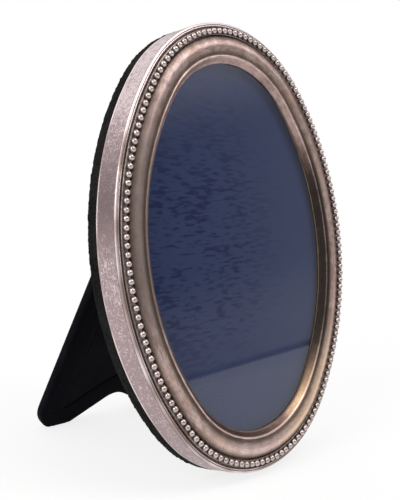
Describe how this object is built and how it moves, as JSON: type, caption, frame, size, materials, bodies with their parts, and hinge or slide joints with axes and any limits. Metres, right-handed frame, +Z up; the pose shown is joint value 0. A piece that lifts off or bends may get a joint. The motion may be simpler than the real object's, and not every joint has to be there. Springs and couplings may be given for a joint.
{
  "type": "oval picture frame",
  "caption": "Oval table picture frame: pressed silver front with a beaded border, glass, card, velvet back with turn buttons, and a hinged velvet strut.",
  "frame": {"origin": "on the floor under the middle of the part's box, standing open on its strut", "axes": "+Z up, -Y the way the front faces (it leans back 12 degrees), +X to the right seen from the front"},
  "size_m": [0.113, 0.086, 0.1492],
  "materials": {
    "silver": "worn polished silver with brown tarnish in the hollows",
    "silver_beads": "polished silver balls in a dark tarnished channel",
    "core_wood": "plain softwood",
    "glass": "clear polished",
    "blue_card": "navy blue card with a fine watered grain",
    "pad_board": "grey board",
    "back_wood": "plain board",
    "back_velvet": "black cotton velvet",
    "strut_velvet": "black cotton velvet",
    "strut_lining": "black cotton sateen",
    "steel": "drawn wire",
    "brass": "dull brass"
  },
  "bodies": {
    "frame": {"silver_front": "silver", "bead_border": "silver_beads", "core_ring": "core_wood", "glass_pane": "glass", "display_card": "blue_card", "backing_pad": "pad_board", "back_board": "back_wood", "back_velvet": "back_velvet", "back_pins": "steel", "door_board": "back_wood", "door_velvet": "back_velvet", "turn_screws": "brass", "hinge_door_leaf": "brass", "hinge_pin": "steel", "hinge_door_rivets": "brass"},
    "strut": {"strut_board": "back_wood", "strut_velvet": "strut_velvet", "strut_lining": "strut_lining", "hinge_strut_leaf": "brass", "hinge_strut_rivets": "brass"},
    "button_right_low": {"turn_button_right_low": "brass"},
    "button_right_high": {"turn_button_right_high": "brass"},
    "button_left_high": {"turn_button_left_high": "brass"},
    "button_left_low": {"turn_button_left_low": "brass"}
  },
  "joints": [
    {"name": "strut_fold", "type": "hinge", "parent": "frame", "child": "strut", "pos_m": [0, -0.00313, 0.11199], "axis": [-1, 0, 0], "range_deg": [0, 32.8]},
    {"name": "turn_right_low", "type": "hinge", "parent": "frame", "child": "button_right_low", "pos_m": [0.0497, -0.01568, 0.05678], "axis": [0, 0.9781, -0.2079], "continuous": true},
    {"name": "turn_right_high", "type": "hinge", "parent": "frame", "child": "button_right_high", "pos_m": [0.04249, -0.00429, 0.11038], "axis": [0, 0.9781, -0.2079], "continuous": true},
    {"name": "turn_left_high", "type": "hinge", "parent": "frame", "child": "button_left_high", "pos_m": [-0.04249, -0.00429, 0.11038], "axis": [0, 0.9781, -0.2079], "continuous": true},
    {"name": "turn_left_low", "type": "hinge", "parent": "frame", "child": "button_left_low", "pos_m": [-0.0497, -0.01568, 0.05678], "axis": [0, 0.9781, -0.2079], "continuous": true}
  ]
}
